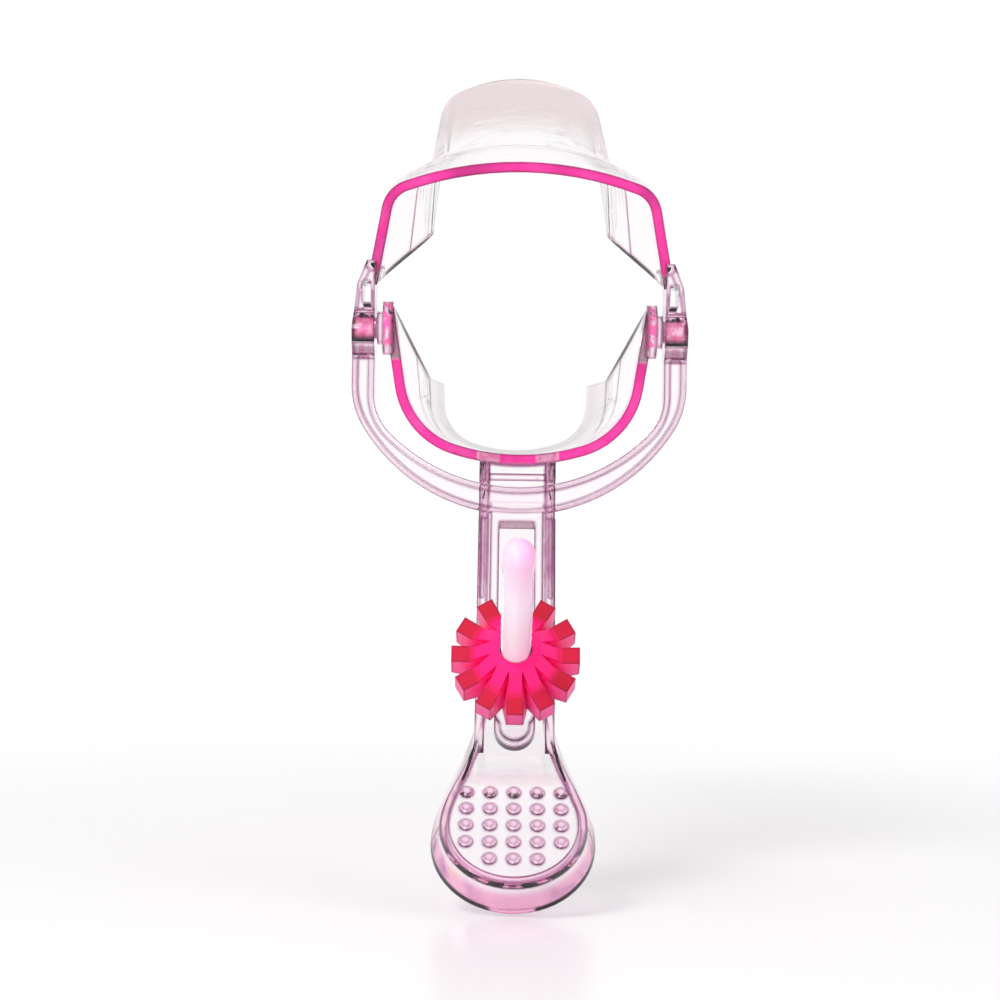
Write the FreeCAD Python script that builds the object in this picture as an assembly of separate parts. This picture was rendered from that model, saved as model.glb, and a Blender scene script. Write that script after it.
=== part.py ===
import FreeCAD, Part
import math
import os

# A clear plastic bivalve speculum of the middle-screw kind, opened, in millimetres.
# X runs across the instrument, Y from the user towards the blade tips, Z up.
# The origin is the middle of the hinge axis that joins the two valves.

# Hinge
pin_r = 2.0
running_clearance = 0.05
pin_collar_r = 3.1
pin_collar_length = 1.1
hinge_gap = 0.3
lower_ear_r = 5.0
upper_boss_r = 5.8

# Upper valve: arched rim, funnel and blade, drawn in the plane of its own rim
rim_lean = 12.0
upper_rim_front = -1.6
upper_collar_end = 17.3
upper_funnel_end = 29.0
upper_blade_length = 110.0
rim_inside_yoke = 2.6
upper_rim_foot = 8.6
upper_rim_crown = 31.5
upper_crown_rise = 11.2
upper_blade_half = 19.0
upper_tip_half = 18.4
upper_blade_edge = 15.0
upper_tip_edge = 32.4
upper_rim_side_lean = 10.7
upper_rim_crown_radius = 64.0
upper_blade_crown_radius = 36.0
upper_corner_radius = 6.4

# Lower valve: rim, funnel and blade, drawn upright
lower_rim_front = -1.5
lower_collar_end = 17.0
lower_funnel_end = 27.0
lower_blade_length = 114.0
lower_rim_half = 25.5
lower_rim_top = 4.0
lower_rim_depth = 25.2
lower_tip_rise = 3.2
lower_blade_half = 19.2
lower_tip_half = 18.4
lower_blade_edge = -8.0
lower_tip_edge = -5.0
lower_rim_side_lean = 9.0
lower_rim_crown_radius = 42.0
lower_blade_crown_radius = 32.0
lower_rim_corner_radius = 15.5
lower_blade_corner_radius = 11.5

# Walls shared by both valves
collar_wall = 1.9
blade_wall = 1.5
blade_side_lean = 3.0
tip_corner_radius = 11.0
tip_end_radius = 36.0
tip_plan_lean = 3.5

# Yoke of the upper valve, seen from the front: it goes round the lower rim and its hinge collars
yoke_lean = 5.5
yoke_depth = 5.0
yoke_wall = 4.2
yoke_foot_wall = 5.2
yoke_foot_gap = 4.2
yoke_arc_spread = 2.9
yoke_outer_corner = 15.0
yoke_inner_corner = 10.0
yoke_groove_border = 1.1
yoke_groove_depth = 0.7
yoke_edge_r = 0.5
ear_top = 12.0
ear_top_inset = 2.8
ear_shoulder = 7.8
ear_shoulder_inset = 1.0
ear_front = 5.2
ear_back = 4.4
ear_slot_width = 1.5
ear_slot_height = 3.8
ear_slot_foot = 2.4

# Lever, screw and channel share one leaning frame
lever_lean = 26.0
lever_front = 9.7
lever_thickness = 3.2
lever_half = 4.9
lever_root = 1.6
lever_slot_half = 3.2
lever_slot_start = 0.4
slot_below_rod = 4.5
tongue_half = 3.65
tongue_reach = 10.4
tongue_step = 1.0

rod_r = 2.75
rod_length = 57.0
rod_drop = 63.7
rod_set_back = 6.6
cross_bar_r = 2.0

nut_gap = 0.5
nut_thickness = 8.0
nut_petal_thickness = 5.0
nut_r = 11.5
nut_root_r = 8.6
nut_front_root_r = 5.4
nut_petals = 12
nut_tip_width = 3.1
nut_hub_r = 4.6
nut_rib_width = 2.3
nut_rib_reach = 7.8
nut_bore_clearance = 0.1

# Handle channel and thumb pad
channel_gap = 0.5
handle_wall = 1.7
rail_behind_lever = 0.6
web_gap = 0.35
web_thickness = 1.6
neck_root = 1.33
neck_edge_r = 1.2
neck_above_join = 7.1
ramp_above_join = 9.0
ramp_below_join = 0.5
ramp_pull = 6.5
ramp_shift = -0.45
rail_recess_depth = 0.8
rail_recess_width = 0.7
rail_recess_end = 50.0
bracket_gap = 0.6
bracket_back = 15.5
shelf_thickness = 1.4
pad_lean = 44.0
join_below_tongue = 1.4
pad_half = 12.6
pad_below_join = 8.0
pad_flare = 1.8
pad_back_shift = 1.2
pad_skirt = 8.0
pad_wall = 1.5
pad_recess = 0.8
pad_front_above_join = 11.0
pad_back_above_join = 22.0
bump_r = 1.2
bump_top_r = 0.75
bump_sides = 12
bump_height = 0.7
bump_column_pitch = 4.1
bump_row_pitch = 3.5
bump_rows = 5
bump_columns = 5

# Sizes that follow from the ones above
yoke_inner_half = lower_rim_half + pin_collar_length + hinge_gap
yoke_outer_half = yoke_inner_half + yoke_wall
yoke_arc_radius = yoke_outer_half + yoke_arc_spread
yoke_inner_drop = lower_rim_depth + yoke_foot_gap
yoke_outer_drop = yoke_inner_drop + yoke_foot_wall
upper_rim_half = yoke_outer_half - rim_inside_yoke
ear_top_half = yoke_outer_half - ear_top_inset
ear_shoulder_half = yoke_outer_half - ear_shoulder_inset
lever_top = yoke_inner_drop + lever_root
lever_slot_top = yoke_outer_drop + lever_slot_start
lever_slot_foot = rod_drop + slot_below_rod
tongue_end = lever_slot_foot + tongue_reach
pad_join = tongue_end + join_below_tongue
pad_centre = pad_join + pad_below_join
pad_neck_front = pad_join - pad_front_above_join
pad_neck_back = pad_join - pad_back_above_join
ramp_top = pad_join - ramp_above_join
ramp_foot = pad_join + ramp_below_join
neck_foot = pad_join - neck_above_join
handle_half = lever_half + channel_gap + handle_wall
rail_front = lever_front + rail_behind_lever
web_front = lever_front + rod_set_back + rod_r + web_gap

X_AXIS = FreeCAD.Vector(1, 0, 0)
Y_AXIS = FreeCAD.Vector(0, 1, 0)
ORIGIN = FreeCAD.Vector(0, 0, 0)
FAR = 60.0


def vec(x, y, z):
    return FreeCAD.Vector(x, y, z)


def leaned(shape, degrees):
    """Turn a shape about the hinge axis; a positive angle lowers its foot towards the user."""
    turned = shape.copy()
    turned.rotate(ORIGIN, X_AXIS, -degrees)
    return turned


def side_point(y, z, degrees):
    """A point of the side view, given in a leaning frame, in upright coordinates."""
    angle = math.radians(degrees)
    return (y * math.cos(angle) + z * math.sin(angle), z * math.cos(angle) - y * math.sin(angle))


def ease(share):
    share = min(max(share, 0.0), 1.0)
    return share * share * (3 - 2 * share)


def between(first, last, share):
    return first + (last - first) * share


def polygon_face(points):
    return Part.Face(Part.makePolygon(points + points[:1]))


def side_prism(points, x_low, x_high):
    """A solid from side-view points (y, z), running across from x_low to x_high."""
    face = polygon_face([vec(x_low, y, z) for y, z in points])
    return face.extrude(vec(x_high - x_low, 0, 0))


def cross_cylinder(radius, x_low, x_high, y=0.0, z=0.0):
    return Part.makeCylinder(radius, x_high - x_low, vec(x_low, y, z), X_AXIS)


def mirrored(shape):
    return shape.mirror(ORIGIN, X_AXIS)


def arch_points(half, foot, lean, corner, crown_radius, crown, up):
    """Key points of half an arch: side line, corner arc and crown arc, all tangent.

    up is 1 for an arch that stands and -1 for one that hangs.
    """
    angle = math.radians(lean)
    along = (-math.sin(angle), math.cos(angle))
    inward = (-math.cos(angle), -math.sin(angle))
    centre_z = crown * up - crown_radius
    start = (half, foot * up)
    rel = (start[0] + corner * inward[0], start[1] + corner * inward[1] - centre_z)
    reach = crown_radius - corner
    dot = rel[0] * along[0] + rel[1] * along[1]
    run = -dot + math.sqrt(dot * dot - rel[0] ** 2 - rel[1] ** 2 + reach * reach)
    middle = (rel[0] + run * along[0], rel[1] + run * along[1] + centre_z)
    side_end = (start[0] + run * along[0], start[1] + run * along[1])
    ray = math.hypot(middle[0], middle[1] - centre_z)
    to_crown = (middle[0] / ray, (middle[1] - centre_z) / ray)
    crown_start = (crown_radius * to_crown[0], centre_z + crown_radius * to_crown[1])
    bend = (to_crown[0] - inward[0], to_crown[1] - inward[1])
    size = math.hypot(bend[0], bend[1])
    corner_mid = (middle[0] + corner * bend[0] / size, middle[1] + corner * bend[1] / size)
    return [(x, z * up) for x, z in (start, side_end, corner_mid, crown_start)]


def arch_edges(points, crown, y):
    """Edges of a whole arch from its right foot over the crown to its left foot."""
    start, side_end, corner_mid, crown_start = points
    right = [vec(x, y, z) for x, z in (start, side_end, corner_mid, crown_start)]
    left = [vec(-p.x, p.y, p.z) for p in right]
    return [
        Part.makeLine(right[0], right[1]),
        Part.Arc(right[1], right[2], right[3]).toShape(),
        Part.Arc(right[3], vec(0, y, crown), left[3]).toShape(),
        Part.Arc(left[3], left[2], left[1]).toShape(),
        Part.makeLine(left[1], left[0]),
    ]


def band_wire(outer, inner, y, up):
    """A closed band between two arches, each given as the arguments of arch_points."""
    outer_points = arch_points(*outer, up)
    inner_points = arch_points(*inner, up)
    outer_edges = arch_edges(outer_points, outer[5], y)
    inner_edges = arch_edges(inner_points, inner[5], y)
    outer_foot, inner_foot = outer_points[0], inner_points[0]
    left_end = Part.makeLine(vec(-outer_foot[0], y, outer_foot[1]), vec(-inner_foot[0], y, inner_foot[1]))
    right_end = Part.makeLine(vec(inner_foot[0], y, inner_foot[1]), vec(outer_foot[0], y, outer_foot[1]))
    ordered = outer_edges + [left_end] + inner_edges[::-1] + [right_end]
    return Part.Wire(Part.__sortEdges__(ordered))


def drawn_in(arch, inset, up):
    """The arch that lies inset inside another one, at an even distance all the way."""
    half, foot, lean, corner, crown_radius, crown = arch
    angle = math.radians(lean)
    return (half - inset * math.cos(angle), foot - up * inset * math.sin(angle), lean, corner - inset,
            crown_radius - inset, crown - up * inset)


def wall_section(arch, is_collar, y, up):
    """The section of a valve's wall at one place; the collar is thicker on its outside."""
    outer = arch if is_collar else drawn_in(arch, collar_wall - blade_wall, up)
    return band_wire(outer, drawn_in(arch, collar_wall, up), y, up)


def stations(first, last, count):
    return [between(first, last, step / (count - 1)) for step in range(count)]


def upper_section(y, is_collar):
    """Section of the upper valve at y, in the plane of its rim."""
    flow = ease(y / upper_funnel_end)
    run = max(0.0, (y - upper_funnel_end) / (upper_blade_length - upper_funnel_end))
    half = between(upper_rim_half, upper_blade_half, flow)
    half = between(half, upper_tip_half, run)
    foot = between(upper_rim_foot, upper_blade_edge, flow)
    foot = between(foot, upper_tip_edge, run)
    crown_radius = between(upper_rim_crown_radius, upper_blade_crown_radius, flow)
    lean = between(upper_rim_side_lean, blade_side_lean, flow)
    crown = upper_rim_crown + upper_crown_rise * y / upper_blade_length
    arch = (half, foot, lean, upper_corner_radius, crown_radius, crown)
    return wall_section(arch, is_collar, y, 1)


def lower_section(y, is_collar):
    """Section of the lower valve at y."""
    flow = ease(y / lower_funnel_end)
    run = max(0.0, (y - lower_funnel_end) / (lower_blade_length - lower_funnel_end))
    half = between(lower_rim_half, lower_blade_half, flow)
    half = between(half, lower_tip_half, run)
    foot = between(lower_rim_top, lower_blade_edge, flow)
    foot = between(foot, lower_tip_edge, run)
    crown_radius = between(lower_rim_crown_radius, lower_blade_crown_radius, flow)
    corner = between(lower_rim_corner_radius, lower_blade_corner_radius, flow)
    lean = between(lower_rim_side_lean, blade_side_lean, flow)
    depth = -lower_rim_depth + lower_tip_rise * run
    return wall_section((half, foot, lean, corner, crown_radius, depth), is_collar, y, -1)


def tip_outline(half, length):
    """Plan view of a blade with a rounded, slightly bowed tip, as an upright solid.

    Its sides lean in so that they only reach the blade's walls where the tip begins.
    """
    lean = math.radians(tip_plan_lean)
    foot_half = half + (length - tip_corner_radius) * math.tan(lean)
    half_outline = arch_points(foot_half, 0.0, tip_plan_lean, tip_corner_radius, tip_end_radius, length, 1)
    edges = arch_edges(half_outline, length, 0.0)
    left_foot, right_foot = vec(-foot_half, 0, 0), vec(foot_half, 0, 0)
    plan = Part.Face(Part.Wire(edges + [Part.makeLine(left_foot, right_foot)]))
    block = plan.extrude(vec(0, 2 * FAR, 0))
    block.rotate(ORIGIN, X_AXIS, -90)
    block.translate(vec(0, 0, FAR))
    return block


def valve_shell(section, rim_front, collar_end, funnel_end, length, tip_half):
    """Collar, funnel and blade of one valve, lofted through its sections."""
    collar_at = stations(rim_front, collar_end, 6)
    collar = Part.makeLoft([section(y, True) for y in collar_at], True, False)
    funnel_at = stations(collar_end, funnel_end, 4)
    funnel = Part.makeLoft([section(y, False) for y in funnel_at], True, False)
    blade = Part.makeLoft([section(y, False) for y in (funnel_end, length)], True, True)
    return collar.fuse([funnel, blade.common(tip_outline(tip_half, length))])


def yoke_band(border):
    """Front view of the yoke as a solid running fore and aft, its edges drawn in by border."""
    outer = (yoke_outer_half - border, 0.0, 0.0, yoke_outer_corner - border,
             yoke_arc_radius - border, -yoke_outer_drop + border)
    inner = (yoke_inner_half + border, 0.0, 0.0, yoke_inner_corner + border,
             yoke_arc_radius + border, -yoke_inner_drop - border)
    return Part.Face(band_wire(outer, inner, -FAR, -1)).extrude(vec(0, 2 * FAR, 0))


def yoke():
    """The U that carries the lever round the lower rim, grooved along its front."""
    half_depth = yoke_depth / 2
    slab = Part.makeBox(4 * FAR, yoke_depth, FAR, vec(-2 * FAR, -half_depth, -FAR))
    groove = Part.makeBox(4 * FAR, yoke_groove_depth, FAR, vec(-2 * FAR, -half_depth, -FAR - upper_boss_r))
    solid = leaned(slab, yoke_lean).common(yoke_band(0.0))
    solid = solid.makeFillet(yoke_edge_r, [edge for edge in solid.Edges if edge.Length > 2 * yoke_depth])
    return solid.cut(leaned(groove, yoke_lean).common(yoke_band(yoke_groove_border)))


def ear():
    """The right ear: from the yoke past the pin hole up to the foot of the arched rim."""
    front_view = polygon_face([
        vec(yoke_inner_half, -FAR, -upper_boss_r),
        vec(yoke_outer_half, -FAR, -upper_boss_r),
        vec(yoke_outer_half, -FAR, 0),
        vec(ear_shoulder_half, -FAR, ear_shoulder),
        vec(ear_top_half, -FAR, ear_top),
        vec(yoke_inner_half, -FAR, ear_top),
    ]).extrude(vec(0, 2 * FAR, 0))
    top_shift = ear_top * math.tan(math.radians(rim_lean))
    side_view = side_prism([
        (-ear_front - top_shift, ear_top),
        (-yoke_depth / 2, -upper_boss_r),
        (yoke_depth / 2, -upper_boss_r),
        (ear_back, ear_top),
    ], yoke_inner_half, yoke_outer_half)
    boss = cross_cylinder(upper_boss_r, yoke_inner_half, yoke_outer_half)
    slot = Part.makeBox(ear_slot_width, 2 * FAR, ear_slot_height,
                        vec(yoke_inner_half + ear_slot_width / 2, -FAR, pin_r + ear_slot_foot))
    return front_view.common(side_view.fuse(boss)).cut(slot)


def lever():
    """The slotted lever with its stepped, round-nosed tongue."""
    plate = Part.makeBox(2 * lever_half, lever_thickness, lever_slot_foot + tongue_half - lever_top,
                         vec(-lever_half, lever_front, -lever_slot_foot - tongue_half))
    slot_length = lever_slot_foot - lever_slot_half - lever_slot_top
    slot = Part.makeBox(2 * lever_slot_half, 3 * lever_thickness, slot_length,
                        vec(-lever_slot_half, lever_front - lever_thickness, -lever_slot_top - slot_length))
    slot_end = Part.makeCylinder(lever_slot_half, 3 * lever_thickness,
                                 vec(0, lever_front - lever_thickness, -lever_slot_top - slot_length), Y_AXIS)
    nose_at = -tongue_end + tongue_half
    tongue = Part.makeBox(2 * tongue_half, lever_thickness - tongue_step, tongue_end - lever_slot_foot,
                          vec(-tongue_half, lever_front + tongue_step, nose_at))
    nose = Part.makeCylinder(tongue_half, lever_thickness - tongue_step,
                             vec(0, lever_front + tongue_step, nose_at), Y_AXIS)
    step = Part.makeCylinder(tongue_half - tongue_step, lever_thickness,
                             vec(0, lever_front, nose_at), Y_AXIS)
    rib = Part.makeCylinder(tongue_half, lever_thickness,
                            vec(0, lever_front, -lever_slot_foot - tongue_half), Y_AXIS)
    solid = plate.fuse([tongue, nose, step, rib]).cut(slot.fuse(slot_end))
    return leaned(solid, lever_lean)


def upper_valve():
    shell = valve_shell(upper_section, upper_rim_front, upper_collar_end, upper_funnel_end,
                        upper_blade_length, upper_tip_half)
    arch = leaned(shell, -rim_lean)
    right_ear = ear()
    body = arch.fuse([yoke(), right_ear, mirrored(right_ear), lever()])
    hole = cross_cylinder(pin_r + running_clearance, -FAR, FAR)
    return body.cut(hole)


def lower_hinge_side():
    """Right ear of the lower rim with its collar and moulded pin."""
    ear_outside = lower_rim_half
    collar_end = ear_outside + pin_collar_length
    plate = cross_cylinder(lower_ear_r, ear_outside - collar_wall, ear_outside)
    collar = cross_cylinder(pin_collar_r, ear_outside, collar_end)
    pin = cross_cylinder(pin_r, ear_outside, yoke_outer_half)
    return plate.fuse([collar, pin])


def pad_wire(inset, back):
    """Outline of the thumb pad in the pad's frame: neck, eased flare and round end."""
    neck = handle_half - inset
    wide = pad_half - inset + (pad_flare if back else 0.0)
    centre = -pad_centre + (pad_back_shift if back else 0.0)
    top = -(pad_neck_back if back else pad_neck_front)
    y = side_of_pad() + (pad_skirt if back else 0.0)
    count = 6
    shares = [step / (count - 1) for step in range(count)]
    right = [vec(between(neck, wide, ease(s)), y, between(top, centre, s)) for s in shares]
    left = [vec(-p.x, p.y, p.z) for p in right[::-1]]
    edges = []
    for points, down in ((right, -1), (left, 1)):
        curve = Part.BSplineCurve()
        curve.interpolate(Points=points, InitialTangent=vec(0, 0, down), FinalTangent=vec(0, 0, down))
        edges.append(curve.toShape())
    round_end = Part.Arc(right[-1], vec(0, y, centre - wide), left[0]).toShape()
    top_line = Part.makeLine(left[-1], right[0])
    return Part.Wire([edges[0], round_end, edges[1], top_line])


def side_of_pad():
    """Distance of the pad's front edge plane from the hinge axis, in the pad's frame."""
    y, z = side_point(rail_front, -pad_join, lever_lean)
    angle = math.radians(pad_lean)
    return y * math.cos(angle) - z * math.sin(angle)


def pad_block(inset):
    """The drafted block of the thumb pad, drawn in by inset."""
    return leaned(Part.makeLoft([pad_wire(inset, False), pad_wire(inset, True)], True, True), pad_lean)


def behind_yoke():
    """Where the bracket may start behind the yoke's bottom."""
    return yoke_depth / 2 - yoke_inner_drop * math.sin(math.radians(yoke_lean)) + bracket_gap


def neck_side_view():
    """Side view of the bracket and channel: clear of the yoke, then out to the rails' front."""
    back = behind_yoke()
    above_yoke = -yoke_inner_drop + 2 * bracket_gap
    below_yoke = -yoke_outer_drop - bracket_gap
    root = -lower_rim_depth + neck_root
    web_back = web_front + web_thickness
    angle = math.radians(lever_lean)
    rail_top = (below_yoke + rail_front * math.sin(angle)) / math.cos(angle)
    return [
        (lower_rim_front, root),
        (lower_rim_front, above_yoke),
        (back, above_yoke),
        (back, below_yoke),
        side_point(rail_front, rail_top, lever_lean),
        side_point(rail_front, -pad_join, lever_lean),
        side_point(web_back, -neck_foot, lever_lean),
        side_point(web_back, -lower_rim_depth, lever_lean),
        (bracket_back, root),
    ]


def down_along(lean):
    """Direction down a leaning piece, in the side view."""
    return vec(0, -math.sin(math.radians(lean)), -math.cos(math.radians(lean)))


def eased_curve(first, last):
    """A side-view curve that leaves the channel's floor and joins the pad's face smoothly."""
    curve = Part.BezierCurve()
    curve.setPoles([first, first + down_along(lever_lean) * ramp_pull,
                    last - down_along(pad_lean) * ramp_pull, last])
    return curve


def web_line(depth):
    """Corners and curve of the web's side view at one depth below its front surface."""
    face = side_of_pad() + pad_recess + depth
    top = vec(0, *side_point(web_front + depth, -lower_rim_depth + rail_front, lever_lean))
    first = vec(0, *side_point(web_front + depth, -ramp_top + depth * ramp_shift, lever_lean))
    last = vec(0, *side_point(face, -ramp_foot + depth * ramp_shift, pad_lean))
    foot = vec(0, *side_point(face, -pad_centre - pad_half, pad_lean))
    return top, first, last, foot


def web():
    """The web as a wide sheet: down the back of the channel, an eased ramp, then the pad's face."""
    front_top, front_first, front_last, front_foot = web_line(0.0)
    back_top, back_first, back_last, back_foot = web_line(web_thickness)
    outline = Part.Wire([
        Part.makeLine(front_top, front_first),
        eased_curve(front_first, front_last).toShape(),
        Part.makeLine(front_last, front_foot),
        Part.makeLine(front_foot, back_foot),
        Part.makeLine(back_foot, back_last),
        eased_curve(back_first, back_last).toShape(),
        Part.makeLine(back_first, back_top),
        Part.makeLine(back_top, front_top),
    ])
    sheet = Part.Face(outline)
    sheet.translate(vec(-FAR, 0, 0))
    return sheet.extrude(vec(2 * FAR, 0, 0))


def bracket_shelf():
    """Cross shelf between the two cheeks of the bracket, under the lower rim."""
    top = -yoke_inner_drop + 2 * bracket_gap + shelf_thickness
    front = behind_yoke()
    back_y, back_z = side_point(web_front, -lower_rim_depth, lever_lean)
    points = [(front, top - shelf_thickness), (front, top), (back_y, top), (back_y, top - shelf_thickness)]
    return side_prism(points, -handle_half + handle_wall / 2, handle_half - handle_wall / 2)


def neck_block():
    """The solid bracket and neck, its back edges rounded for the fingers."""
    solid = side_prism(neck_side_view(), -handle_half, handle_half)
    backward = vec(0, *side_point(1.0, 0.0, lever_lean))
    back = [edge for edge in solid.Edges if edge.BoundBox.XLength < channel_gap
            and edge.CenterOfMass.dot(backward) > web_front + web_thickness / 2]
    return solid.makeFillet(neck_edge_r, back)


def rail_recesses():
    """Shallow grooves down the front edges of the two rails, below the yoke."""
    middle = handle_half - handle_wall / 2
    grooves = []
    for side in (-1, 1):
        box = Part.makeBox(rail_recess_width, rail_recess_depth + bracket_gap, rail_recess_end,
                           vec(side * middle - rail_recess_width / 2, rail_front - bracket_gap,
                               -rail_recess_end))
        grooves.append(leaned(box, lever_lean))
    return grooves


def handle():
    """Bracket, channel and thumb pad: walls all round and one web that changes sides."""
    inner_half = handle_half - handle_wall
    block = neck_block().fuse(pad_block(0.0))
    channel = Part.makeBox(2 * inner_half, 2 * FAR, pad_join, vec(-inner_half, -FAR, -pad_join))
    hollow = leaned(channel, lever_lean).fuse(pad_block(pad_wall))
    return block.cut(hollow).fuse([web().common(block), bracket_shelf()]).cut(rail_recesses())


def stud_ring(radius, x, y, z):
    """Outline of a stud of many flat sides, square to the pad's face."""
    turns = [2 * math.pi * side / bump_sides for side in range(bump_sides)]
    corners = [vec(x + radius * math.sin(turn), y, z + radius * math.cos(turn)) for turn in turns]
    return Part.makePolygon(corners + corners[:1])


def grip_bumps():
    """Tapered studs on the pad's face; the last row has only its middle ones."""
    face = side_of_pad() + pad_recess
    bumps = []
    for row in range(bump_rows):
        last = row == bump_rows - 1
        for column in range(bump_columns):
            if last and column in (0, bump_columns - 1):
                continue
            x = (column - (bump_columns - 1) / 2) * bump_column_pitch
            z = -pad_centre - (row - (bump_rows - 1) / 2) * bump_row_pitch
            rings = [stud_ring(bump_r, x, face + web_thickness / 2, z),
                     stud_ring(bump_r, x, face - bump_height / 2, z),
                     stud_ring(bump_top_r, x, face - bump_height, z)]
            bumps.append(leaned(Part.makeLoft(rings, True, True), pad_lean))
    return bumps


def lower_valve():
    shell = valve_shell(lower_section, lower_rim_front, lower_collar_end, lower_funnel_end,
                        lower_blade_length, lower_tip_half)
    side = lower_hinge_side()
    body = shell.fuse([side, mirrored(side), handle()] + grip_bumps())
    bar_y, bar_z = cross_bar_at()
    hole = cross_cylinder(cross_bar_r + running_clearance, -FAR, FAR, bar_y, bar_z)
    return body.cut(hole)


def cross_bar_at():
    """Where the screw's cross bar lies in the side view."""
    return side_point(lever_front + rod_set_back, -rod_drop, lever_lean)


def screw_rod():
    """Round-ended screw, a hub round its cross bar and the bar itself."""
    base = lever_front + rod_set_back
    straight = rod_length - rod_r
    shank = Part.makeCylinder(rod_r, straight, vec(0, base, -rod_drop), vec(0, -1, 0))
    tip = Part.makeSphere(rod_r, vec(0, base - straight, -rod_drop))
    hub = cross_cylinder(rod_r, -lever_half, lever_half, base, -rod_drop)
    bar = cross_cylinder(cross_bar_r, -handle_half, handle_half, base, -rod_drop)
    return leaned(shank.fuse([tip, hub, bar]).removeSplitter(), lever_lean)


def star_outline(root, depth):
    """Outline of the petals at one depth: every gap between two petals is a V down to root."""
    step = 2 * math.pi / nut_petals
    half_tip = math.asin(nut_tip_width / 2 / nut_r)
    points = []
    for petal in range(nut_petals):
        middle = petal * step
        for angle, radius in ((middle - half_tip, nut_r), (middle + half_tip, nut_r), (middle + step / 2, root)):
            points.append(vec(radius * math.sin(angle), -depth, radius * math.cos(angle)))
    return Part.makePolygon(points + points[:1])


def nut_ribs():
    """Sloping ribs, one from the front of each petal up to the hub."""
    front, back = -nut_thickness, -nut_petal_thickness
    points = [vec(-nut_rib_width / 2, y, z) for y, z in (
        (back, nut_rib_reach), (front, nut_hub_r), (front, rod_r + nut_bore_clearance),
        (back / 2, rod_r + nut_bore_clearance), (back / 2, nut_rib_reach))]
    rib = polygon_face(points).extrude(vec(nut_rib_width, 0, 0))
    ribs = []
    for petal in range(nut_petals):
        turned = rib.copy()
        turned.rotate(ORIGIN, Y_AXIS, petal * 360.0 / nut_petals)
        ribs.append(turned)
    return ribs


def star_nut():
    """Star-shaped thumb nut: petals with gaps that open towards the front, a hub and sloping ribs."""
    star = Part.makeLoft([star_outline(nut_root_r, 0.0), star_outline(nut_front_root_r, nut_petal_thickness)],
                         True, True)
    hub = Part.makeCylinder(nut_hub_r, nut_thickness, ORIGIN, vec(0, -1, 0))
    bore = Part.makeCylinder(rod_r + nut_bore_clearance, 2 * FAR, vec(0, -FAR, 0), Y_AXIS)
    nut = star.fuse([hub] + nut_ribs()).cut(bore).removeSplitter()
    nut.translate(vec(0, lever_front - nut_gap, -rod_drop))
    return leaned(nut, lever_lean)


def main():
    os.makedirs("parts", exist_ok=True)
    pieces = {
        "lower_valve": lower_valve,
        "upper_valve": upper_valve,
        "screw_rod": screw_rod,
        "star_nut": star_nut,
    }
    for name, make in pieces.items():
        shape = make()
        print(name, "solids", len(shape.Solids), "valid", shape.isValid(), "volume", round(shape.Volume, 1),
              "box", [round(v, 1) for v in (shape.BoundBox.XMin, shape.BoundBox.YMin, shape.BoundBox.ZMin,
                                            shape.BoundBox.XMax, shape.BoundBox.YMax, shape.BoundBox.ZMax)])
        shape.exportStep("parts/" + name + ".step")


main()
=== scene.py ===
import math

import bmesh
import bpy
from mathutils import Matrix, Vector


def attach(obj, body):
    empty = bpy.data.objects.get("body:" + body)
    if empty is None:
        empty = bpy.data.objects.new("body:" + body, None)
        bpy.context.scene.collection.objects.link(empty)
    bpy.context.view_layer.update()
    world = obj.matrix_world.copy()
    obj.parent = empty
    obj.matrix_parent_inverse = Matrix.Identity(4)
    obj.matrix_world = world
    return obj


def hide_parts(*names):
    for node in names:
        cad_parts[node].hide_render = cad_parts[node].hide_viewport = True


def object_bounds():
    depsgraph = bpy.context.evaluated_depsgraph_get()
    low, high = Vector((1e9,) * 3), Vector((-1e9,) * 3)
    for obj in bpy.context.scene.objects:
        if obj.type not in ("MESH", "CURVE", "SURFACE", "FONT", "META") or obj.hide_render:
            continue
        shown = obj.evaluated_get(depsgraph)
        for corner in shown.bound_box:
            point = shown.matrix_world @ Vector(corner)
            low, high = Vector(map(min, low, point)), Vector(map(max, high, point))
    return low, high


# A clear plastic bivalve speculum, opened, seen from the user's side.
# Lengths are in metres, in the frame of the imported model: X across, Y from the user, Z up.

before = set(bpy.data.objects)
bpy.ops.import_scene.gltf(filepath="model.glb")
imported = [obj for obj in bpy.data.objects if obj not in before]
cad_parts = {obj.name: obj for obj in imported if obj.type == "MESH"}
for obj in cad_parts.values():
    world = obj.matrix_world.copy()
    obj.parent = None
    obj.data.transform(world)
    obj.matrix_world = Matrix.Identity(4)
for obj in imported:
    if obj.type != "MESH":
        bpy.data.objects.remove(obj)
cad_box = [list(corner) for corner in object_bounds()]

MM = 0.001

# How far the upper rim, the lever with its screw, and the thumb pad lean about the hinge's axis
RIM_LEAN = math.radians(12.0)
LEVER_LEAN = math.radians(26.0)
PAD_LEAN = math.radians(44.0)

# Screw, in its own frame: its cross bar lies ROD_BACK behind the hinge and ROD_DROP below it
ROD_DROP = 63.7 * MM
ROD_R = 2.75 * MM
ROD_BACK = 16.3 * MM
ROD_STRAIGHT = 54.25 * MM
ROD_HUB_HALF = 4.9 * MM
CROSS_BAR_R = 2.0 * MM
CROSS_BAR_HALF = 7.1 * MM
FLAT_HALF = 2.3 * MM
FLAT_START = 5.0 * MM
FLAT_END = 48.5 * MM
FLAT_RUNOUT = 1.0 * MM
THREAD_CREST = 2.72 * MM
THREAD_PITCH = 1.6 * MM
THREAD_HALF_WIDTH = 0.42 * MM
THREAD_STEPS = 32
AROUND = 48
DOME_STEPS = 10
SHARP = math.radians(35.0)

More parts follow.
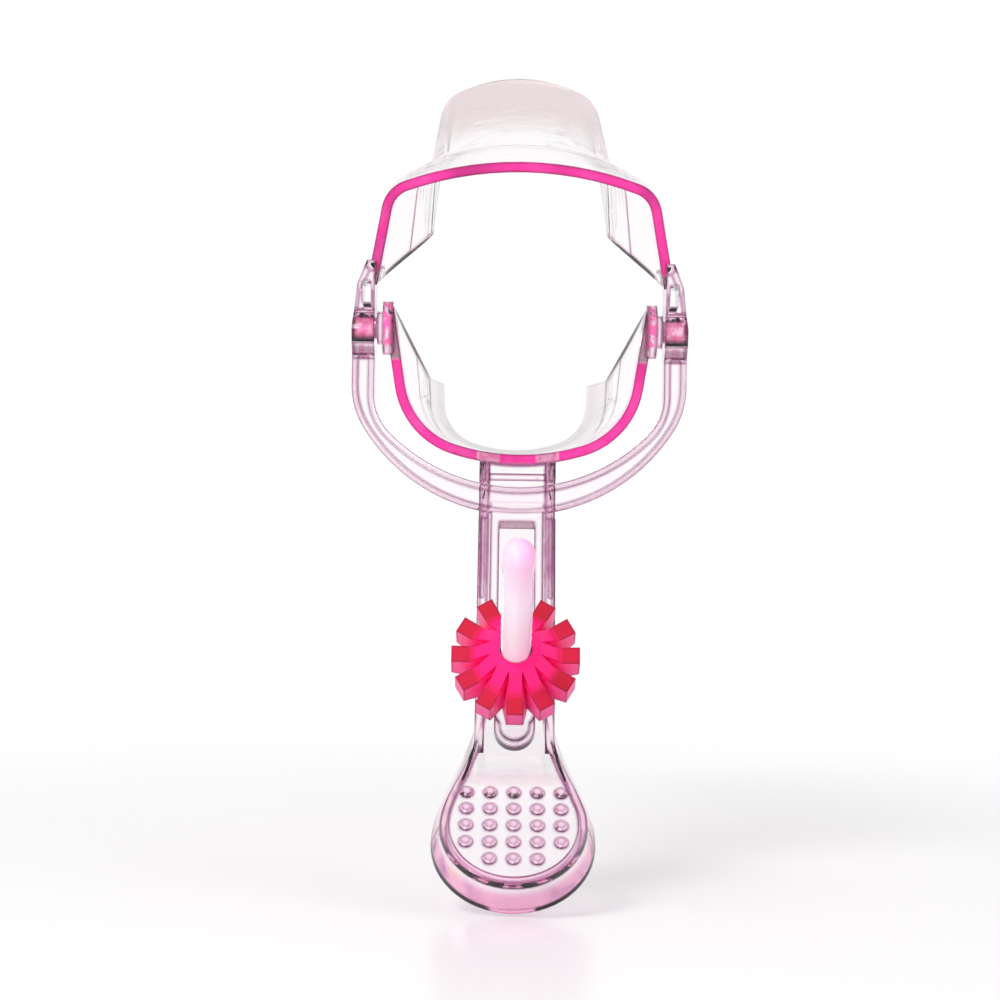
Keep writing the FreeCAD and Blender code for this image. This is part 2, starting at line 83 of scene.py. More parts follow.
# Rims, each in its own frame: the lip's front plane, the span of it that is pink, and the collar's end.
# A band is its lowest and highest point, the length over which it fades, and its strength.
UPPER_LIP = -1.6 * MM
LOWER_LIP = -1.5 * MM
LIP_HALF_DEPTH = 0.4 * MM
LOWER_BANDS = [(-25.3 * MM, -5.5 * MM, 0.6 * MM, 1.0), (-5.5 * MM, 5.0 * MM, 0.6 * MM, 0.5)]
UPPER_BANDS = [(10.4 * MM, 60.0 * MM, 0.8 * MM, 1.0)]
COLLAR_END = 18.8 * MM
# The thin dark line painted as shade at the collar's end: its half width, and the heights over which it
# fades in
COLLAR_SHADE_HALF_WIDTH = 0.2 * MM
COLLAR_SHADE_FOOT = (24.0 * MM, 28.0 * MM)

# Spans of the parts with a tint of their own: (from, to) across or up the model
EAR_ACROSS = (23.0 * MM, 25.4 * MM)
EAR_UP = (-3.6 * MM, 5.2 * MM)
EAR_FRONT = (-1.2 * MM, -1.6 * MM)
PIN_BOX_SIDE = (26.2 * MM, 26.6 * MM)
PIN_BOX_UP = (-2.7 * MM, 2.9 * MM)
RAIL_ACROSS = (5.2 * MM, 7.2 * MM)
RAIL_UP = (-47.0 * MM, -32.0 * MM)
CHEEK_ACROSS = (3.3 * MM, 7.2 * MM)
CHEEK_UP = (-32.0 * MM, -22.5 * MM)
CHEEK_BACK = (5.0 * MM, 3.0 * MM)
LIP_GAP_ACROSS = (3.6 * MM, 7.4 * MM)
LIP_GAP_TOP = (-21.5 * MM, -22.5 * MM)
UPPER_BLUSH = (34.0 * MM, 62.0 * MM)
LOWER_BLUSH = (20.0 * MM, 60.0 * MM)
BLADE_FROST = (30.0 * MM, 70.0 * MM)

# Thumb pad, in its own frame: the studs' tops and feet, their widest row, and where the pad starts
STUD_TOP = 34.6 * MM
STUD_FOOT = 35.25 * MM
STUDS_HALF = 9.8 * MM
PAD_TOP = (-74.0 * MM, -78.0 * MM)
SKIRT_FRONT = (37.15 * MM, 38.25 * MM)
SKIRT_SIDE = (4.0 * MM, 11.0 * MM)

# Roundings where dark shade is painted: lowest point, highest point, and how far back they reach
HANDLE_SHADED_ROUNDINGS = (-60.0 * MM, -24.0 * MM, 20.0 * MM)
YOKE_SHADED_ROUNDINGS = (-70.0 * MM, 9.0 * MM, 6.0 * MM)
# How far from a sharp edge the painted edge glow and painted edge shade reach
EDGE_WIDTH = 0.8 * MM

# Nut, in the screw's frame: the petals' front plane, and the radii over which the hub's pink gives way
PETAL_FRONT = 4.2 * MM
PETAL_ROOT = (6.8 * MM, 8.4 * MM)
PETAL_END = (8.0 * MM, 9.0 * MM)

# Size of the noises, in features per metre
FINE_FLECKS = 900.0
FLECKS = 700.0
CLOUDS = 190.0
STREAKS = 160.0
NUT_CLOUDS = 150.0
MILK_CLOUDS = 90.0
WIDE_STREAKS = 70.0

# Camera: level, at the height of the handle's neck, rolled a little, as in the photograph
CAMERA_AT = (-3.2 * MM, -450.0 * MM, -31.8 * MM)
CAMERA_ROLL = math.radians(0.9)
CAMERA_LENS = 86.65
CAMERA_SENSOR = 36.0

# Colours, linear
HOT_PINK = (1.0, 0.022, 0.36, 1.0)
LIP_SHADE = (0.62, 0.012, 0.24, 1.0)
# The next two are painted light: a pink glow at the outline and edges, and dark shade right on them
EDGE_GLOW_PINK = (1.0, 0.42, 0.72, 1.0)
EDGE_SHADE_PLUM = (0.11, 0.004, 0.055, 1.0)
LIP_STREAK = (1.0, 0.12, 0.52, 1.0)
BODY_PINK = (1.0, 0.52, 0.78, 1.0)
STUD_PINK = (0.97, 0.55, 0.78, 1.0)
BLADE_BLUSH = (1.0, 0.76, 0.77, 1.0)
FUNNEL_BLUSH = (1.0, 0.90, 0.94, 1.0)
SKIRT_PINK = (1.0, 0.52, 0.74, 1.0)
SKIRT_PURPLE = (0.50, 0.18, 0.42, 1.0)
SKIRT_ORANGE = (1.0, 0.62, 0.45, 1.0)
RAIL_PLUM = (0.62, 0.16, 0.42, 1.0)
PIN_PINK = (0.90, 0.16, 0.48, 1.0)
CLEAR = (1.0, 0.995, 0.998, 1.0)
PETAL_CRIMSON = (0.48, 0.004, 0.014, 1.0)
# Painted shade darkening the petals' edges
PETAL_EDGE_SHADE = (0.10, 0.002, 0.03, 1.0)
HUB_PINK = (1.0, 0.010, 0.20, 1.0)
FLANK_PINK = (0.96, 0.10, 0.36, 1.0)
MILK = (1.0, 0.90, 0.97, 1.0)
# Pink of the screw's round end, and painted shade on its right side
MILK_SHADE = (1.0, 0.36, 0.70, 1.0)
FLOOR = (0.97, 0.96, 0.97, 1.0)


def new_material(name):
    material = bpy.data.materials.new(name)
    material.use_nodes = True
    nodes = material.node_tree.nodes
    nodes.clear()
    return material, nodes, material.node_tree.links


def add(nodes, kind, **values):
    node = nodes.new(kind)
    for key, value in values.items():
        setattr(node, key, value)
    return node


# Places of a Mix node's colour sockets
COLOUR_A, COLOUR_B, COLOUR_RESULT = 6, 7, 2


class Finish:
    """A material under construction, with the few node helpers that the finishes share."""

    def __init__(self, name):
        self.material, self.nodes, self.links = new_material(name)
        self.out = add(self.nodes, "ShaderNodeOutputMaterial")
        self.shader = add(self.nodes, "ShaderNodeBsdfPrincipled")
        self.links.new(self.shader.outputs["BSDF"], self.out.inputs["Surface"])
        self.place = add(self.nodes, "ShaderNodeTexCoord")

    def constant(self, **values):
        for key, value in values.items():
            self.shader.inputs[key.replace("_", " ")].default_value = value

    def turned(self, angle, shift=(0.0, 0.0, 0.0)):
        """Object coordinates in a frame that leans by angle about the hinge axis."""
        mapping = add(self.nodes, "ShaderNodeMapping")
        mapping.inputs["Rotation"].default_value = (angle, 0.0, 0.0)
        mapping.inputs["Location"].default_value = shift
        self.links.new(self.place.outputs["Object"], mapping.inputs["Vector"])
        return mapping.outputs["Vector"]

    def axes(self, vector):
        split = add(self.nodes, "ShaderNodeSeparateXYZ")
        self.links.new(vector, split.inputs["Vector"])
        return split.outputs

    def step(self, value, start, end):
        """0 below start and 1 above end, or the other way round if start lies above end."""
        mapped = add(self.nodes, "ShaderNodeMapRange")
        mapped.inputs["From Min"].default_value = start
        mapped.inputs["From Max"].default_value = end
        self.links.new(value, mapped.inputs["Value"])
        return mapped.outputs["Result"]

    def between(self, value, low, high, fade):
        """1 from low to high, fading to 0 on both sides."""
        return self.math("MULTIPLY", self.step(value, low - fade, low + fade),
                         self.step(value, high + fade, high - fade))

    def math(self, kind, first, second=None):
        node = add(self.nodes, "ShaderNodeMath", operation=kind)
        for socket, value in zip(node.inputs, (first, second)):
            if isinstance(value, float):
                socket.default_value = value
            elif value is not None:
                self.links.new(value, socket)
        return node.outputs["Value"]

    def product(self, first, *others):
        for value in others:
            first = self.math("MULTIPLY", first, value)
        return first

    def blend(self, factor, first, second):
        mix = add(self.nodes, "ShaderNodeMix", data_type="RGBA")
        if isinstance(factor, float):
            mix.inputs["Factor"].default_value = factor
        else:
            self.links.new(factor, mix.inputs["Factor"])
        for socket, value in ((COLOUR_A, first), (COLOUR_B, second)):
            if isinstance(value, tuple):
                mix.inputs[socket].default_value = value
            else:
                self.links.new(value, mix.inputs[socket])
        return mix.outputs[COLOUR_RESULT]

    def noise(self, scale):
        cloud = add(self.nodes, "ShaderNodeTexNoise")
        cloud.inputs["Scale"].default_value = scale
        cloud.inputs["Detail"].default_value = 2.0
        self.links.new(self.place.outputs["Object"], cloud.inputs["Vector"])
        return cloud.outputs["Fac"]

    def aside(self, axes):
        """Distance from the model's middle plane."""
        return self.math("ABSOLUTE", axes["X"])

    def radius(self, axes):
        """Distance from the screw's axis, from coordinates that run along it in Y."""
        squares = [self.math("MULTIPLY", axes[name], axes[name]) for name in ("X", "Z")]
        return self.math("SQRT", self.math("ADD", *squares))

    def colour(self, value):
        self.links.new(value, self.shader.inputs["Base Color"])


def edges(finish):
    """How near an edge or the outline a point lies: a wide share for a painted pink glow and a narrow one
    for painted plum shade.
    """
    outline = add(finish.nodes, "ShaderNodeLayerWeight")
    outline.inputs["Blend"].default_value = 0.5
    rounded = add(finish.nodes, "ShaderNodeBevel", samples=4)
    rounded.inputs["Radius"].default_value = EDGE_WIDTH
    flat = add(finish.nodes, "ShaderNodeNewGeometry")
    turn = add(finish.nodes, "ShaderNodeVectorMath", operation="DOT_PRODUCT")
    finish.links.new(rounded.outputs["Normal"], turn.inputs[0])
    finish.links.new(flat.outputs["Normal"], turn.inputs[1])
    # The wider share carries the painted pink glow, the narrower one the painted plum shade.
    near = finish.math("MAXIMUM", finish.step(outline.outputs["Facing"], 0.86, 0.95),
                       finish.step(turn.outputs["Value"], 0.995, 0.97))
    edge_shade_share = finish.math("MAXIMUM", finish.step(outline.outputs["Facing"], 0.95, 0.985),
                           finish.step(turn.outputs["Value"], 0.975, 0.93))
    return near, edge_shade_share


def rounding_shade(finish, low, high, back):
    """Where shade is painted on the narrow roundings of the yoke, lever and handle: turned aside, but not
    flat on their sides.
    """
    facing = add(finish.nodes, "ShaderNodeSeparateXYZ")
    finish.links.new(finish.place.outputs["Normal"], facing.inputs["Vector"])
    turned_aside_shade = finish.between(finish.math("ABSOLUTE", facing.outputs["Y"]), 0.25, 0.80, 0.06)
    place = finish.axes(finish.place.outputs["Object"])
    return finish.product(turned_aside_shade, finish.between(place["Z"], low, high, 1.0 * MM),
                          finish.step(place["Y"], back + 0.5 * MM, back - 0.5 * MM))


def clear_plastic(name, rim_angle, rim_plane, bands, places, lip_share, roundings, frosting):
    """Clear moulding: pink through its depth, hot pink on the rim's front edge, with a painted pink glow and
    painted dark shade at its outline and edges.

    bands lists the heights, in the rim's frame, between which the front edge is pink.
    places adds the tints of this valve's own parts to its base colour, and lip_share says how much lip
    is left of them. frosting is the roughness that the blade gains towards its end.
    """
    finish = Finish(name)
    finish.constant(IOR=1.52)
    body = add(finish.nodes, "ShaderNodeVolumeAbsorption")
    body.inputs["Color"].default_value = BODY_PINK
    body.inputs["Density"].default_value = 18.0
    finish.links.new(body.outputs["Volume"], finish.out.inputs["Volume"])

    axes = finish.axes(finish.turned(rim_angle))
    on_front = finish.between(axes["Y"], rim_plane - LIP_HALF_DEPTH, rim_plane + LIP_HALF_DEPTH, 0.1 * MM)
    reach = 0.0
    for low, high, fade, strength in bands:
        band = finish.product(finish.between(axes["Z"], low, high, fade), strength)
        reach = finish.math("MAXIMUM", band, reach)
    on_lip = lip_share(finish, axes, finish.product(on_front, reach))

    edge_glow, edge_shade = edges(finish)
    # Painted dark shade also goes on the roundings turned aside.
    edge_shade = finish.math("MAXIMUM", edge_shade, finish.product(rounding_shade(finish, *roundings), 0.85))
    # Painted pink glow near the edges and outline, painted dark shade right on them.
    tint = finish.blend(edge_glow, places(finish, axes), EDGE_GLOW_PINK)
    tint = finish.blend(edge_shade, tint, EDGE_SHADE_PLUM)
    shade = finish.step(finish.noise(WIDE_STREAKS), 0.46, 0.64)
    light = finish.step(finish.noise(STREAKS), 0.52, 0.70)
    lip = finish.blend(shade, HOT_PINK, LIP_SHADE)
    lip = finish.blend(finish.product(light, 0.4), lip, LIP_STREAK)
    # Painted edge shade on the lip too.
    lip = finish.blend(finish.product(edge_shade, 0.85), lip, EDGE_SHADE_PLUM)
    finish.colour(finish.blend(on_lip, tint, lip))
    clear_share = finish.math("SUBTRACT", 1.0, finish.product(on_lip, 0.8))
    finish.links.new(clear_share, finish.shader.inputs["Transmission Weight"])
    frost = finish.product(finish.step(axes["Y"], *BLADE_FROST), frosting)
    finish.links.new(finish.math("ADD", frost, 0.03), finish.shader.inputs["Roughness"])
    return finish.material


def whole_lip(finish, axes, on_lip):
    """The upper lip is pink all along."""
    return on_lip


def lip_off_bracket(finish, axes, on_lip):
    """The lower lip is clear where the two cheeks of the bracket meet it, and its ears are pink."""
    across = finish.aside(axes)
    gap = finish.product(finish.between(across, *LIP_GAP_ACROSS, 0.4 * MM),
                         finish.step(axes["Z"], *LIP_GAP_TOP), 0.85)
    on_lip = finish.product(on_lip, finish.math("SUBTRACT", 1.0, gap))
    ear = finish.product(finish.between(across, *EAR_ACROSS, 0.2 * MM),
                         finish.between(axes["Z"], *EAR_UP, 0.5 * MM),
                         finish.step(axes["Y"], *EAR_FRONT),
                         finish.step(finish.noise(FINE_FLECKS), 0.36, 0.50), 0.9)
    return finish.math("MAXIMUM", on_lip, ear)


def upper_places(finish, axes):
    """The upper blade has a blush towards its end, and the boxes round the pins are pink.

    A thin dark arc of painted shade marks the end of its collar.
    """
    base = finish.blend(finish.step(axes["Y"], *UPPER_BLUSH), CLEAR, BLADE_BLUSH)
    place = finish.axes(finish.place.outputs["Object"])
    box = finish.product(finish.step(finish.aside(place), *PIN_BOX_SIDE),
                         finish.between(place["Z"], *PIN_BOX_UP, 0.3 * MM),
                         finish.step(finish.noise(FLECKS), 0.42, 0.58), 0.8)
    base = finish.blend(box, base, PIN_PINK)
    # Painted shade: a thin dark line at the end of the collar.
    arc = finish.between(axes["Y"], COLLAR_END - COLLAR_SHADE_HALF_WIDTH, COLLAR_END + COLLAR_SHADE_HALF_WIDTH, 0.1 * MM)
    arc = finish.product(arc, finish.step(place["Z"], *COLLAR_SHADE_FOOT), 0.75)
    return finish.blend(arc, base, EDGE_SHADE_PLUM)


def lower_places(finish, axes):
    """The rails, the bracket's cheeks, the studs and the skirt of the thumb pad are pinker than the rest."""
    across = finish.aside(axes)
    flow = finish.noise(CLOUDS)
    rail = finish.product(finish.between(across, *RAIL_ACROSS, 0.2 * MM),
                          finish.between(axes["Z"], *RAIL_UP, 1.0 * MM),
                          finish.step(flow, 0.30, 0.62), 0.8)
    cheek = finish.product(finish.between(across, *CHEEK_ACROSS, 0.2 * MM),
                           finish.between(axes["Z"], *CHEEK_UP, 0.5 * MM),
                           finish.step(axes["Y"], *CHEEK_BACK),
                           finish.step(finish.noise(FLECKS), 0.46, 0.60), 0.7)
    base = finish.blend(finish.step(axes["Y"], *LOWER_BLUSH), CLEAR, FUNNEL_BLUSH)
    base = finish.blend(rail, base, RAIL_PLUM)
    base = finish.blend(cheek, base, PIN_PINK)

    pad = finish.axes(finish.turned(PAD_LEAN))
    pad_across = finish.aside(pad)
    on_pad = finish.step(pad["Z"], *PAD_TOP)
    studs = finish.product(finish.between(pad["Y"], STUD_TOP - 0.2 * MM, STUD_FOOT, 0.05 * MM), on_pad,
                           finish.step(pad_across, STUDS_HALF + 0.05 * MM, STUDS_HALF - 0.05 * MM))
    skirt = finish.blend(finish.step(flow, 0.50, 0.66), SKIRT_PINK, SKIRT_PURPLE)
    skirt = finish.blend(finish.step(flow, 0.46, 0.34), skirt, SKIRT_ORANGE)
    skirt = finish.blend(finish.step(pad_across, *SKIRT_SIDE), SKIRT_PINK, skirt)
    base = finish.blend(finish.product(finish.step(pad["Y"], *SKIRT_FRONT), on_pad), base, skirt)
    return finish.blend(studs, base, STUD_PINK)


def milky_plastic():
    """Milky white screw: satin, pinker at its round end, and pinker on its right side where shade is
    painted.
    """
    finish = Finish("milky_screw")
    finish.constant(Roughness=0.22, IOR=1.5, Subsurface_Weight=0.3, Subsurface_Scale=2.0 * MM)
    axes = finish.axes(finish.turned(LEVER_LEAN, (0.0, 0.0, ROD_DROP)))
    near_end = finish.product(finish.step(axes["Y"], -24.0 * MM, -42.0 * MM), 0.5)
    # Painted shade: the right side is pinker.
    right_side_shade = finish.product(finish.step(axes["X"], -0.5 * MM, 2.5 * MM), 0.4)
    shade = finish.math("ADD", near_end, finish.product(finish.noise(MILK_CLOUDS), 0.1))
    finish.colour(finish.blend(finish.math("ADD", shade, right_side_shade), MILK, MILK_SHADE))
    return finish.material


def crimson_plastic():
    """Nut: hot pink hub and flanks, dark crimson on the fronts of the petals, with painted shade darker at
    their edges.
    """
    finish = Finish("crimson_nut")
    finish.constant(Roughness=0.38, IOR=1.5, Specular_IOR_Level=0.25,
                    Subsurface_Weight=0.2, Subsurface_Scale=1.5 * MM)
    axes = finish.axes(finish.turned(LEVER_LEAN, (0.0, 0.0, ROD_DROP)))
    reach = finish.radius(axes)
    on_petal = finish.step(reach, *PETAL_ROOT)
    on_front = finish.step(axes["Y"], PETAL_FRONT + 0.35 * MM, PETAL_FRONT + 0.1 * MM)
    flank = finish.blend(on_petal, HUB_PINK, FLANK_PINK)
    front = finish.blend(on_petal, HUB_PINK, PETAL_CRIMSON)
    tone = finish.blend(on_front, flank, front)
    _, edge_shade = edges(finish)
    # Painted shade darkens the petals' edges.
    tone = finish.blend(finish.product(edge_shade, finish.step(reach, *PETAL_END), 0.8), tone, PETAL_EDGE_SHADE)
    finish.colour(finish.blend(finish.product(finish.noise(NUT_CLOUDS), 0.25), tone, HUB_PINK))
    return finish.material


def along_screw(point):
    """From the screw's own frame (depth along it from the cross bar) to its place in the model."""
    x, depth, up = point
    y, z = ROD_BACK - depth, up - ROD_DROP
    cos, sin = math.cos(LEVER_LEAN), math.sin(LEVER_LEAN)
    return Vector((x, y * cos + z * sin, z * cos - y * sin))


def closed_mesh(name, points, faces, material):
    """A mesh in the model's place, its faces turned outwards."""
    mesh = bpy.data.meshes.new(name)
    mesh.from_pydata(points, [], faces)
    shape = bmesh.new()
    shape.from_mesh(mesh)
    bmesh.ops.recalc_face_normals(shape, faces=shape.faces)
    for face in shape.faces:
        face.smooth = True
    for edge in shape.edges:
        edge.smooth = edge.calc_face_angle(0.0) < SHARP
    shape.to_mesh(mesh)
    shape.free()
    mesh.materials.append(material)
    piece = bpy.data.objects.new(name, mesh)
    bpy.context.collection.objects.link(piece)
    return piece


def lathe_rings(rings, place):
    """Closed faces from rings of (x, y) points at their depths, with a fan at each end."""
    points, faces = [], []
    for outline, depth in rings:
        points += [place((x, depth, up)) for x, up in outline]
    count = len(rings)
    for ring in range(count - 1):
        for step in range(AROUND):
            here, there = ring * AROUND, (ring + 1) * AROUND
            after = (step + 1) % AROUND
            faces.append((here + step, here + after, there + after, there + step))
    for ring in (0, count - 1):
        first = ring * AROUND
        middle = sum(points[first:first + AROUND], Vector()) / AROUND
        points.append(middle)
        faces += [(first + step, first + (step + 1) % AROUND, len(points) - 1) for step in range(AROUND)]
    return points, faces


def round_outline(radius, half_width):
    """A circle whose two sides are cut flat at half_width."""
    outline = []
    for step in range(AROUND):
        angle = 2 * math.pi * step / AROUND
        x = max(-half_width, min(half_width, radius * math.cos(angle)))
        outline.append((x, radius * math.sin(angle)))
    return outline


def screw_body(material):
    """Round-ended screw with a flat on each side, where its thread shows, and the hub and bar across it."""
    rings = [(round_outline(ROD_R, ROD_R), depth) for depth in (0.0, FLAT_START)]
    rings += [(round_outline(ROD_R, FLAT_HALF), depth) for depth in (FLAT_START + FLAT_RUNOUT, FLAT_END)]
    rings += [(round_outline(ROD_R, ROD_R), depth) for depth in (FLAT_END + FLAT_RUNOUT, ROD_STRAIGHT)]
    for step in range(1, DOME_STEPS):
        angle = math.pi / 2 * step / DOME_STEPS
        radius = ROD_R * math.cos(angle)
        rings.append((round_outline(radius, radius), ROD_STRAIGHT + ROD_R * math.sin(angle)))
    points, faces = lathe_rings(rings, along_screw)
    for radius, half in ((ROD_R, ROD_HUB_HALF), (CROSS_BAR_R, CROSS_BAR_HALF)):
        across = [(round_outline(radius, radius), x) for x in (-half, half)]
        more, more_faces = lathe_rings(across, lambda point: along_screw((point[1], point[0], point[2])))
        faces += [tuple(corner + len(points) for corner in face) for face in more_faces]
        points += more
    return closed_mesh("screw_body", points, faces, material)


def thread_tree(material):
    """Thread: a spiral with a pointed section swept along it."""
    tree = bpy.data.node_groups.new("screw_thread", "GeometryNodeTree")
    face = tree.interface
    for name in ("Crest Radius", "Pitch", "Length", "Half Width"):
        face.new_socket(name, in_out="INPUT", socket_type="NodeSocketFloat")
    face.new_socket("Geometry", in_out="OUTPUT", socket_type="NodeSocketGeometry")
    nodes, links = tree.nodes, tree.links
    given, out = add(nodes, "NodeGroupInput"), add(nodes, "NodeGroupOutput")
    turns = add(nodes, "ShaderNodeMath", operation="DIVIDE")
    links.new(given.outputs["Length"], turns.inputs[0])
    links.new(given.outputs["Pitch"], turns.inputs[1])
    inner = add(nodes, "ShaderNodeMath", operation="SUBTRACT")
    links.new(given.outputs["Crest Radius"], inner.inputs[0])
    links.new(given.outputs["Half Width"], inner.inputs[1])
    spiral = add(nodes, "GeometryNodeCurveSpiral")
    spiral.inputs["Resolution"].default_value = THREAD_STEPS
    links.new(turns.outputs["Value"], spiral.inputs["Rotations"])
    links.new(inner.outputs["Value"], spiral.inputs["Start Radius"])
    links.new(inner.outputs["Value"], spiral.inputs["End Radius"])
    links.new(given.outputs["Length"], spiral.inputs["Height"])
    section = add(nodes, "GeometryNodeCurvePrimitiveCircle")
    section.inputs["Resolution"].default_value = 4
    links.new(given.outputs["Half Width"], section.inputs["Radius"])
    sweep = add(nodes, "GeometryNodeCurveToMesh")
    sweep.inputs["Fill Caps"].default_value = True
    links.new(spiral.outputs["Curve"], sweep.inputs["Curve"])
    links.new(section.outputs["Curve"], sweep.inputs["Profile Curve"])
    real = add(nodes, "GeometryNodeRealizeInstances")
    coat = add(nodes, "GeometryNodeSetMaterial")
    coat.inputs["Material"].default_value = material
    links.new(sweep.outputs["Mesh"], real.inputs["Geometry"])
    links.new(real.outputs["Geometry"], coat.inputs["Geometry"])
    links.new(coat.outputs["Geometry"], out.inputs["Geometry"])
    return tree


def screw_thread(material):
    """The thread in its place along the screw, as a plain mesh."""
    sizes = {"Crest Radius": THREAD_CREST, "Pitch": THREAD_PITCH,
             "Length": FLAT_END - FLAT_START - FLAT_RUNOUT, "Half Width": THREAD_HALF_WIDTH}
    host = bpy.data.objects.new("thread_maker", bpy.data.meshes.new("thread_maker"))
    bpy.context.collection.objects.link(host)
    maker = host.modifiers.new("screw_thread", "NODES")
    maker.node_group = thread_tree(material)
    for socket in maker.node_group.interface.items_tree:
        if socket.name in sizes:
            maker[socket.identifier] = sizes[socket.name]
    seen = host.evaluated_get(bpy.context.evaluated_depsgraph_get())
    mesh = bpy.data.meshes.new_from_object(seen)
    mesh.name = "screw_thread"
    bpy.data.objects.remove(host)
    for vertex in mesh.vertices:
        x, up, depth = vertex.co
        vertex.co = along_screw((x, depth + FLAT_START + FLAT_RUNOUT / 2, up))
    shape = bmesh.new()
    shape.from_mesh(mesh)
    bmesh.ops.recalc_face_normals(shape, faces=shape.faces)
    shape.to_mesh(mesh)
    shape.free()
    thread = bpy.data.objects.new("screw_thread", mesh)
    bpy.context.collection.objects.link(thread)
    return thread


def dress(node, material):
    """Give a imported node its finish."""
    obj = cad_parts[node]
    obj.data.materials.clear()
    obj.data.materials.append(material)


def seen_directly(nodes, links):
    """1 for what the camera sees itself or through clear plastic or in a reflection, else 0."""
    paths = add(nodes, "ShaderNodeLightPath")
    total = paths.outputs["Is Camera Ray"]
    for kind in ("Is Transmission Ray", "Is Glossy Ray"):
        join = add(nodes, "ShaderNodeMath", operation="MAXIMUM")
        links.new(total, join.inputs[0])
        links.new(paths.outputs[kind], join.inputs[1])
        total = join.outputs["Value"]
    return paths, total


def make_surrounding():
    """Soft light from all round; straight ahead it is white and at the sides dusky pink."""
    world = bpy.data.worlds.new("studio")
    bpy.context.scene.world = world
    world.use_nodes = True
    nodes, links = world.node_tree.nodes, world.node_tree.links
    nodes.clear()
    out = add(nodes, "ShaderNodeOutputWorld")
    paths, seen = seen_directly(nodes, links)
    place = add(nodes, "ShaderNodeTexCoord")
    split = add(nodes, "ShaderNodeSeparateXYZ")
    links.new(place.outputs["Generated"], split.inputs["Vector"])
    ramp = add(nodes, "ShaderNodeValToRGB")
    share = add(nodes, "ShaderNodeMapRange")
    share.inputs["From Min"].default_value = -1.0
    share.inputs["From Max"].default_value = 1.0
    links.new(split.outputs["Y"], share.inputs["Value"])
    links.new(share.outputs["Result"], ramp.inputs["Fac"])
    stops = [(0.0, (0.98, 0.96, 0.98, 1.0)), (0.3, (0.97, 0.90, 0.94, 1.0)), (0.6, (0.92, 0.72, 0.84, 1.0)),
             (0.8, (0.98, 0.88, 0.94, 1.0)), (0.92, (1.0, 1.0, 1.0, 1.0))]
    ramp.color_ramp.elements[0].position, ramp.color_ramp.elements[0].color = stops[0]
    ramp.color_ramp.elements[1].position, ramp.color_ramp.elements[1].color = stops[-1]
    for position, colour in stops[1:-1]:
        ramp.color_ramp.elements.new(position).color = colour
    white = add(nodes, "ShaderNodeMix", data_type="RGBA")
    white.inputs[COLOUR_B].default_value = (1.0, 1.0, 1.0, 1.0)
    links.new(paths.outputs["Is Camera Ray"], white.inputs["Factor"])
    links.new(ramp.outputs["Color"], white.inputs[COLOUR_A])
    lit = add(nodes, "ShaderNodeBackground")
    lit.inputs["Color"].default_value = (1.0, 0.99, 1.0, 1.0)
    lit.inputs["Strength"].default_value = 0.6
    shown = add(nodes, "ShaderNodeBackground")
    links.new(white.outputs[COLOUR_RESULT], shown.inputs["Color"])
    mix = add(nodes, "ShaderNodeMixShader")
    links.new(seen, mix.inputs["Fac"])
    links.new(lit.outputs["Background"], mix.inputs[1])
    links.new(shown.outputs["Background"], mix.inputs[2])
    links.new(mix.outputs["Shader"], out.inputs["Surface"])


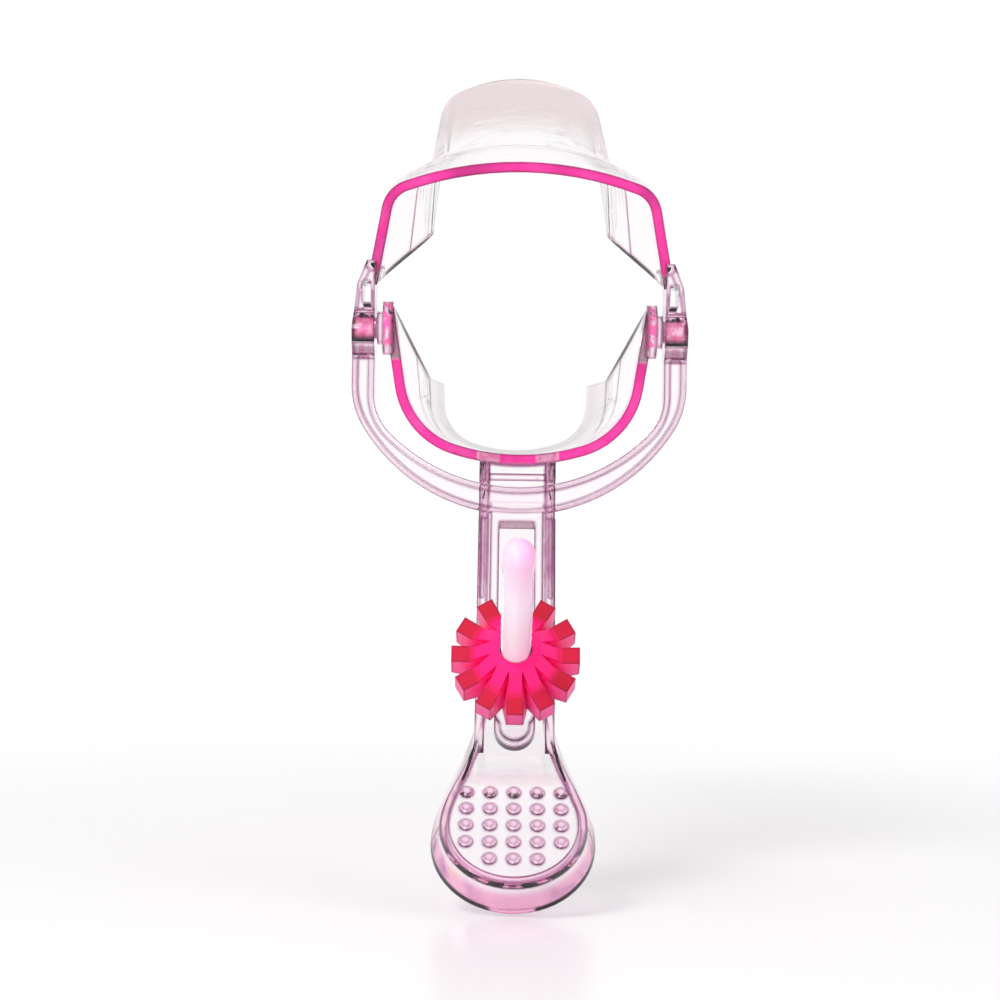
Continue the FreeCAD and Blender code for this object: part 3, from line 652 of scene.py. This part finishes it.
def make_floor():
    """Pale floor: lit and shadowed near the object, fading into the white background."""
    low = cad_box[0][2] - 0.5 * MM
    bpy.ops.mesh.primitive_plane_add(size=8.0, location=(0.0, 0.0, low))
    floor = bpy.context.object
    floor.name = "pale_floor"
    material, nodes, links = new_material("pale_floor")
    out = add(nodes, "ShaderNodeOutputMaterial")
    near = add(nodes, "ShaderNodeBsdfPrincipled")
    near.inputs["Base Color"].default_value = FLOOR
    near.inputs["Roughness"].default_value = 0.25
    near.inputs["Specular IOR Level"].default_value = 0.3
    far = add(nodes, "ShaderNodeEmission")
    place = add(nodes, "ShaderNodeTexCoord")
    reach = add(nodes, "ShaderNodeVectorMath", operation="LENGTH")
    links.new(place.outputs["Object"], reach.inputs[0])
    fade = add(nodes, "ShaderNodeMapRange", interpolation_type="SMOOTHSTEP")
    fade.inputs["From Min"].default_value = 0.03
    fade.inputs["From Max"].default_value = 0.30
    links.new(reach.outputs["Value"], fade.inputs["Value"])
    _, seen = seen_directly(nodes, links)
    share = add(nodes, "ShaderNodeMath", operation="MULTIPLY")
    links.new(fade.outputs["Result"], share.inputs[0])
    links.new(seen, share.inputs[1])
    mix = add(nodes, "ShaderNodeMixShader")
    links.new(share.outputs["Value"], mix.inputs["Fac"])
    links.new(near.outputs["BSDF"], mix.inputs[1])
    links.new(far.outputs["Emission"], mix.inputs[2])
    links.new(mix.outputs["Shader"], out.inputs["Surface"])
    floor.data.materials.append(material)


def area_light(name, place, aim, size, power):
    data = bpy.data.lights.new(name, "AREA")
    data.shape = "SQUARE"
    data.size = size
    data.energy = power
    lamp = bpy.data.objects.new(name, data)
    bpy.context.collection.objects.link(lamp)
    lamp.location = place
    lamp.rotation_euler = (Vector(aim) - Vector(place)).to_track_quat("-Z", "Y").to_euler()


def make_lights():
    area_light("key_light", (-0.5, -0.6, 0.7), (0.0, 0.0, -0.02), 0.4, 5.0)
    area_light("fill_light", (0.7, -0.4, 0.3), (0.0, 0.0, -0.02), 0.5, 1.5)
    area_light("front_light", (-0.22, -0.75, -0.02), (0.0, 0.0, -0.05), 0.3, 2.0)


def make_camera():
    data = bpy.data.cameras.new("camera")
    data.sensor_width = CAMERA_SENSOR
    data.lens = CAMERA_LENS
    data.clip_start = 0.01
    data.clip_end = 20.0
    camera = bpy.data.objects.new("camera", data)
    bpy.context.collection.objects.link(camera)
    camera.location = CAMERA_AT
    camera.rotation_euler = (math.radians(90.0), -CAMERA_ROLL, 0.0)
    bpy.context.scene.camera = camera
    bpy.context.scene.view_settings.view_transform = "Standard"


make_camera()
make_surrounding()
make_floor()
make_lights()

dress("lower_valve", clear_plastic("clear_lower", 0.0, LOWER_LIP, LOWER_BANDS,
                                    lower_places, lip_off_bracket, HANDLE_SHADED_ROUNDINGS, 0.08))
dress("upper_valve", clear_plastic("clear_upper", -RIM_LEAN, UPPER_LIP, UPPER_BANDS,
                                    upper_places, whole_lip, YOKE_SHADED_ROUNDINGS, 0.12))
milk = milky_plastic()
screw, thread = screw_body(milk), screw_thread(milk)
for piece in (screw, thread):
    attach(piece, "screw")
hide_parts("screw_rod")
dress("star_nut", crimson_plastic())
